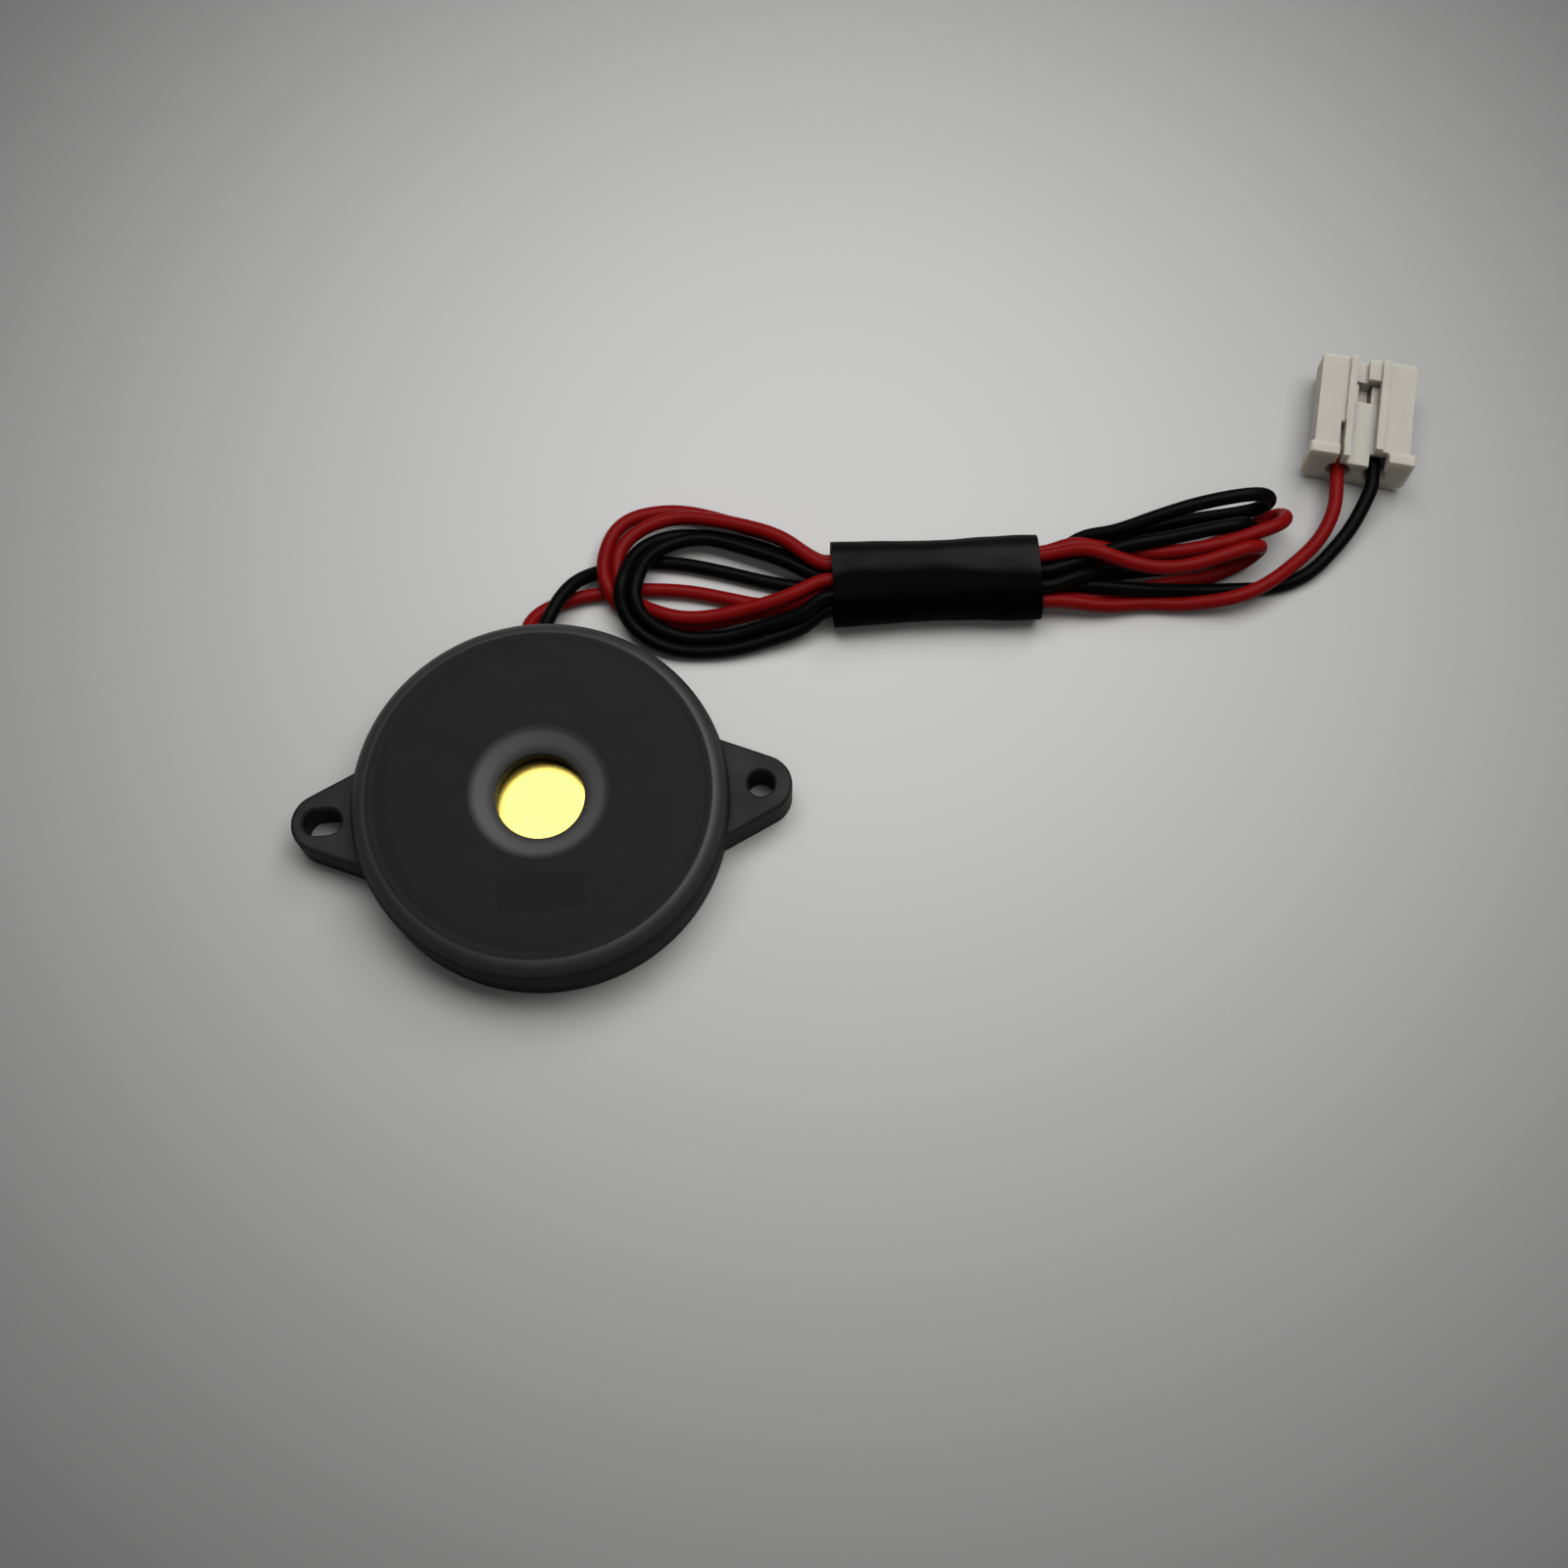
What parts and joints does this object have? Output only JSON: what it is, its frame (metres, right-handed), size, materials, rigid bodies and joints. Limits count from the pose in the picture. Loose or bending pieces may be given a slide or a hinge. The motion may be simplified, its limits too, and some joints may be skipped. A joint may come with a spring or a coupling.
{
  "type": "buzzer",
  "caption": "Round low-profile piezo buzzer in a two-part case with mounting ears, a central sound port and a folded two-wire lead ended in a crimp connector.",
  "frame": {"origin": "centre of the round case on its rear face", "axes": "+Z out of the sound port, +X along the ears towards the round hole, +Y towards the lead exit"},
  "size_m": [0.0812, 0.0414, 0.005],
  "materials": {
    "black_case": "fine matt moulded",
    "brass": "bright rolled",
    "ceramic": "fired",
    "silver": "fired silver paste",
    "silicone": "cured bead",
    "solder": "bright solder",
    "tinned_copper": "tinned strands",
    "black_sealant": "cured",
    "red_insulation": "soft satin",
    "black_insulation": "soft satin",
    "sleeve": "shrunk tube, soft sheen",
    "ivory_housing": "natural nylon"
  },
  "bodies": {
    "root": {"rear_case": "black_case", "front_case": "black_case", "brass_diaphragm": "brass", "piezo_ceramic": "ceramic", "silver_electrode": "silver", "bonding_ring": "silicone", "red_solder_joint": "solder", "black_solder_joint": "solder", "red_core": "tinned_copper", "black_core": "tinned_copper", "lead_seal": "black_sealant", "red_lead": "red_insulation", "black_lead": "black_insulation", "wire_hank": "red_insulation", "hank_sleeve": "sleeve", "red_tail": "red_insulation", "black_tail": "black_insulation", "connector_housing": "ivory_housing", "red_contact": "tinned_copper", "black_contact": "tinned_copper"}
  },
  "joints": []
}
